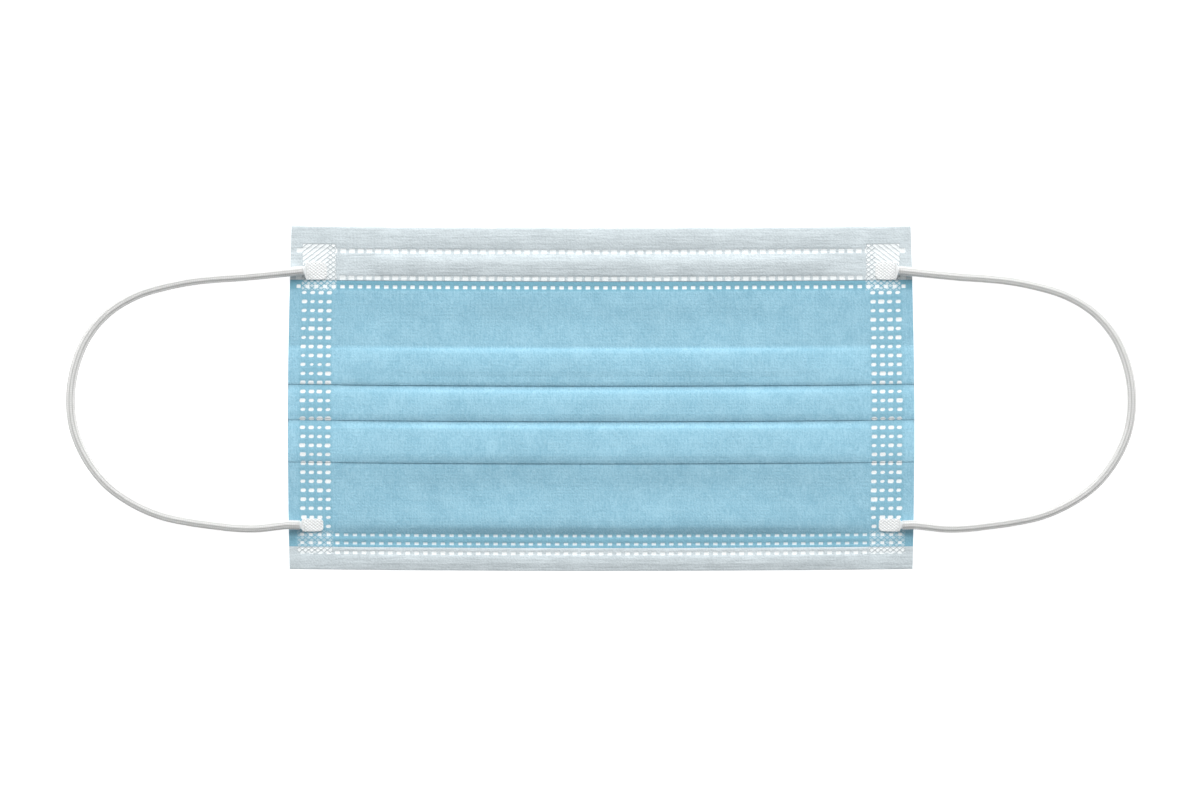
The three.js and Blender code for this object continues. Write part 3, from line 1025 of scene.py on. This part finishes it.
def pressed_end(name, side, end):
    """A cord end pressed flat: a round section that widens and thins inwards, with knurling on its upper
    side."""
    table = np.array(END_SECTIONS)
    bend = np.linspace(table[0, 0], 1.0, 20)
    leaf = np.linspace(1.0, table[-1, 0], 51)[1:]
    inward = np.concatenate([bend, leaf])[:, None]
    width = smooth_curve(inward, table[:, 0], table[:, 1]) * np.where(inward > 0, end.widen, 1.0)
    width = np.maximum(width, smooth_curve(inward, table[:, 0], table[:, 2]))
    thick = smooth_curve(inward, table[:, 0], table[:, 2])
    over, under = np.linspace(1.0, -1.0, 64), np.linspace(-1.0, 1.0, 22)[1:-1]
    angle = np.concatenate([np.arccos(over * np.abs(over)), 2 * np.pi - np.arccos(under * np.abs(under))])
    flat = ease(0.0, 0.6, inward)
    power = 1.0 - 0.5 * flat
    cosine, sine = np.cos(angle), np.sin(angle)
    out = np.broadcast_to(side * (end.out - inward), (len(inward), len(angle)))
    up = end.up + width / 2 * np.sign(cosine) * np.abs(cosine) ** power
    base = end.base + (END_HEIGHT - thick[0] / 2 - end.base) * (1.0 - ease(0.0, 0.5, inward))
    height = base + thick / 2 * (1.0 + np.sign(sine) * np.abs(sine) ** power)
    diamond = 1.0 - ease(-0.12, 0.02, diamonds(out, up, FINE_KNURL))
    pressed = diamond * ease(0.2, 0.7, sine) * ease(0.4, 0.8, inward)
    grid = np.stack([out, up, height - END_KNURL_DEPTH * pressed], axis=-1)
    return closed_mesh(name, grid, groove=0.8 - 0.8 * pressed)


# Operators

class FACEMASK_OT_stage(bpy.types.Operator):
    """Makes the camera, the floor, the soft lights and the world"""

    bl_idname = "facemask.stage"
    bl_label = "Stage"

    def execute(self, context):
        scene = context.scene
        scene.view_settings.view_transform = "Standard"
        lens = bpy.data.cameras.new("photo_camera")
        lens.sensor_width = SENSOR
        lens.lens = SENSOR * CAMERA_HEIGHT / VIEW_WIDTH
        camera = bpy.data.objects.new("photo_camera", lens)
        camera.location = (*CAMERA_AIM, CAMERA_HEIGHT)
        scene.collection.objects.link(camera)
        scene.camera = camera
        half = FLOOR_SIZE / 2
        mesh = bpy.data.meshes.new("floor")
        corners = [(-half, -half, 0.0), (half, -half, 0.0), (half, half, 0.0), (-half, half, 0.0)]
        mesh.from_pydata(corners, [], [(0, 1, 2, 3)])
        mesh.materials.append(light_table())
        floor = bpy.data.objects.new("floor", mesh)
        scene.collection.objects.link(floor)
        for name, lamp in LAMPS.items():
            light = bpy.data.lights.new(name, "AREA")
            light.shape = "RECTANGLE"
            light.size = lamp.width
            light.size_y = lamp.height
            light.energy = lamp.power
            made = bpy.data.objects.new(name, light)
            made.location = lamp.place
            made.rotation_euler = (-Vector(lamp.place)).to_track_quat("-Z", "Y").to_euler()
            scene.collection.objects.link(made)
        world = bpy.data.worlds.new("studio")
        world.use_nodes = True
        background = world.node_tree.nodes["Background"]
        background.inputs["Color"].default_value = (*linear("#fdfeff"), 1.0)
        background.inputs["Strength"].default_value = WORLD_STRENGTH
        scene.world = world
        return {"FINISHED"}


class FACEMASK_OT_ear_loops(bpy.types.Operator):
    """Makes both ear loops with their pressed ends"""

    bl_idname = "facemask.ear_loops"
    bl_label = "Ear loops"

    def execute(self, context):
        sizes = sizes_mm()
        light, dark, film = (colour(name) for name in ("elastic_light", "elastic_groove_shade", "weld_film"))
        # The cord's darker colour is painted shade in its grooves
        elastic = knitted_elastic("knitted polyester elastic", light, dark, YARN_SPREAD)
        welded = knitted_elastic("hot pressed polyester elastic", film, light, FILM_SPREAD)
        for word, side in SIDES.items():
            ends = [dress(pressed_end(f"{word}_{end.name}_cord_end", side, end), welded, "knitted_elastic",
                          f"{word}_{end.name}_weld_tab") for end in CORD_ENDS]
            path, steps = loop_path(side, STITCH_LENGTH / STEPS_PER_STITCH)
            cord = knitted_tube(f"{word}_ear_cord", path, steps, sizes)
            dress(cord, elastic, "knitted_elastic", f"{word}_ear_loop")
        return {"FINISHED"}


class FACEMASK_OT_outer_ply(bpy.types.Operator):
    """Makes the blue outer ply with its pleats, its side seams and its rows of weld points"""

    bl_idname = "facemask.outer_ply"
    bl_label = "Outer ply"

    def execute(self, context):
        sizes = sizes_mm()
        across = columns(sizes.pitch, PANEL_ROWS[0].half_width, PLY_COLUMN)
        front = pleated_rows(SEAM_ROW_PITCH / PLY_ROWS_EACH_WELD, FOLD_STEPS)
        back = pleated_rows(None, 2)
        column, up = grid_of(across, front, sizes)
        x = column * side_edge(up)
        weld = np.minimum(row_welds(column, up, PANEL_ROWS, sizes.pitch), seam_welds(column, up))
        out = np.abs(column)
        seam = SEAM_TONE * ease(*SEAM_BAND_START, out) * (1.0 - ease(*SEAM_BAND_END, out))
        chin_strip = CHIN_STRIP_TONE - CHIN_STRIP_TONE * ease(*CHIN_STRIP, up)
        strips = np.maximum(ease(*NOSE_STRIP, up), chin_strip)
        knurl = patch_share(x, up) * np.where(up > 0, 1.0, CHIN_KNURL)
        low, high = PLEAT_ZONE
        # Painted light: share of the pleat zone, where the cloth's colour is painted paler
        layers = ease(low - 0.4, low, up) * (1.0 - ease(high, high + 0.5, up))
        dents = sizes.depth * np.maximum(pit(weld), KNURL_PRESS * knurl)
        outside = sheet_points(across, front, 0.0, pleat_share, sizes, dents)
        inside = sheet_points(across, back, OUTER_PLY_SHARE * sizes.cloth, pleat_share, sizes)
        blank = np.ones(inside.shape[:2])
        ply = closed_mesh("outer_ply", np.concatenate([outside, inside[:, ::-1]], axis=1),
                          weld=np.concatenate([weld, blank], axis=1),
                          pressed=np.concatenate([np.maximum(seam, strips), 0.0 * blank], axis=1),
                          knurl=np.concatenate([knurl, 0.0 * blank], axis=1),
                          layers=np.concatenate([layers, 0.0 * blank], axis=1))
        cloth = spunbond_cloth("blue spunbond polypropylene", colour("outer_light"), colour("outer_dark"),
                               colour("outer_pressed"), BLUE_FIBRE)
        dress(ply, cloth, "blue_nonwoven", "pleated_panel")
        return {"FINISHED"}


class FACEMASK_OT_white_ply(bpy.types.Operator):
    """Makes the white inner ply behind the pleats and its two hems on the front"""

    bl_idname = "facemask.white_ply"
    bl_label = "Inner ply and hems"

    def execute(self, context):
        sizes = sizes_mm()
        cloth = spunbond_cloth("white spunbond polypropylene", colour("white_light"), colour("white_dark"),
                               colour("white_pressed"), WHITE_FIBRE)
        across = np.linspace(-1.0, 1.0, INNER_PLY_COLUMNS)
        outer = pleated_rows(SEAM_ROW_PITCH / 2, 7)
        inner = pleated_rows(None, 4)
        skin = sheet_points(across, outer, sizes.cloth, pleat_share, sizes)
        core = sheet_points(across, inner, OUTER_PLY_SHARE * sizes.cloth + PLY_CLEARANCE, pleat_share, sizes)
        grid = np.concatenate([skin, core[:, ::-1]], axis=1)
        ply = closed_mesh("inner_ply", grid, weld=np.ones(grid.shape[:2]))
        dress(ply, cloth, "white_nonwoven", "pleated_panel")
        hems = [
            hem_piece("top_hem_cloth", TOP_HEM_RUN, NOSE_TURN, TOP_HEM_ROWS, sizes),
            hem_piece("bottom_hem_cloth", BOTTOM_HEM_RUN, -CHIN_TURN, BOTTOM_HEM_ROWS, sizes),
        ]
        for hem, node in zip(hems, ("top_hem", "bottom_hem")):
            dress(hem, cloth, "white_nonwoven", node)
        return {"FINISHED"}


class FACEMASK_OT_nose_wire(bpy.types.Operator):
    """Makes the nose wire inside the top hem"""

    bl_idname = "facemask.nose_wire"
    bl_label = "Nose wire"

    def execute(self, context):
        out = np.linspace(-WIRE_LENGTH / 2, WIRE_LENGTH / 2, 90)[:, None]
        angle = np.linspace(0.0, 2 * np.pi, 48, endpoint=False)
        beside = np.cos(angle)
        waist = 1.0 - WIRE_WAIST * (1.0 - ease(0.15, 0.6, np.abs(beside)))
        share = out / MIDDLE_HALF_WIDTH
        rim = WIRE_WIDTH / 2 * np.sign(beside) * np.abs(beside) ** WIRE_SQUARENESS
        up = WIRE_UP - MIDDLE_SAG * (1.0 - share ** 2) + rim
        height = WIRE_HEIGHT + WIRE_THICKNESS / 2 * waist * np.sin(angle) + 0.0 * out
        grid = np.stack([out + 0.0 * up, up, height], axis=-1)
        dress(closed_mesh("nose_wire_strip", grid), coated_wire(), "coated_wire", "nose_wire")
        return {"FINISHED"}


class FACEMASK_PT_pieces(bpy.types.Panel):
    """Lists the pieces of the mask with their sizes and colours"""

    bl_idname = "FACEMASK_PT_pieces"
    bl_label = "Face mask"
    bl_space_type = "VIEW_3D"
    bl_region_type = "UI"
    bl_category = "Face mask"

    def draw(self, context):
        for group in (context.scene.face_mask_sizes, context.scene.face_mask_colours):
            for key in group.bl_rna.properties.keys():
                if key not in ("rna_type", "name"):
                    self.layout.prop(group, key)
        for operator in OPERATORS:
            self.layout.operator(operator.bl_idname)


OPERATORS = (
    FACEMASK_OT_stage,
    FACEMASK_OT_ear_loops,
    FACEMASK_OT_outer_ply,
    FACEMASK_OT_white_ply,
    FACEMASK_OT_nose_wire,
)
CLASSES = (FaceMaskSizes, FaceMaskColours, *OPERATORS, FACEMASK_PT_pieces)


def register():
    """Registers the classes and hangs the two groups on the scene."""
    for kind in CLASSES:
        bpy.utils.register_class(kind)
    bpy.types.Scene.face_mask_sizes = bpy.props.PointerProperty(type=FaceMaskSizes)
    bpy.types.Scene.face_mask_colours = bpy.props.PointerProperty(type=FaceMaskColours)


def unregister():
    """Takes the groups and the classes away again."""
    del bpy.types.Scene.face_mask_colours
    del bpy.types.Scene.face_mask_sizes
    for kind in reversed(CLASSES):
        bpy.utils.unregister_class(kind)


def main():
    """Makes every piece in order."""
    register()
    bpy.ops.facemask.stage()
    bpy.ops.facemask.ear_loops()
    bpy.ops.facemask.outer_ply()
    bpy.ops.facemask.white_ply()
    bpy.ops.facemask.nose_wire()
    bpy.context.view_layer.update()


if __name__ == "__main__":
    main()
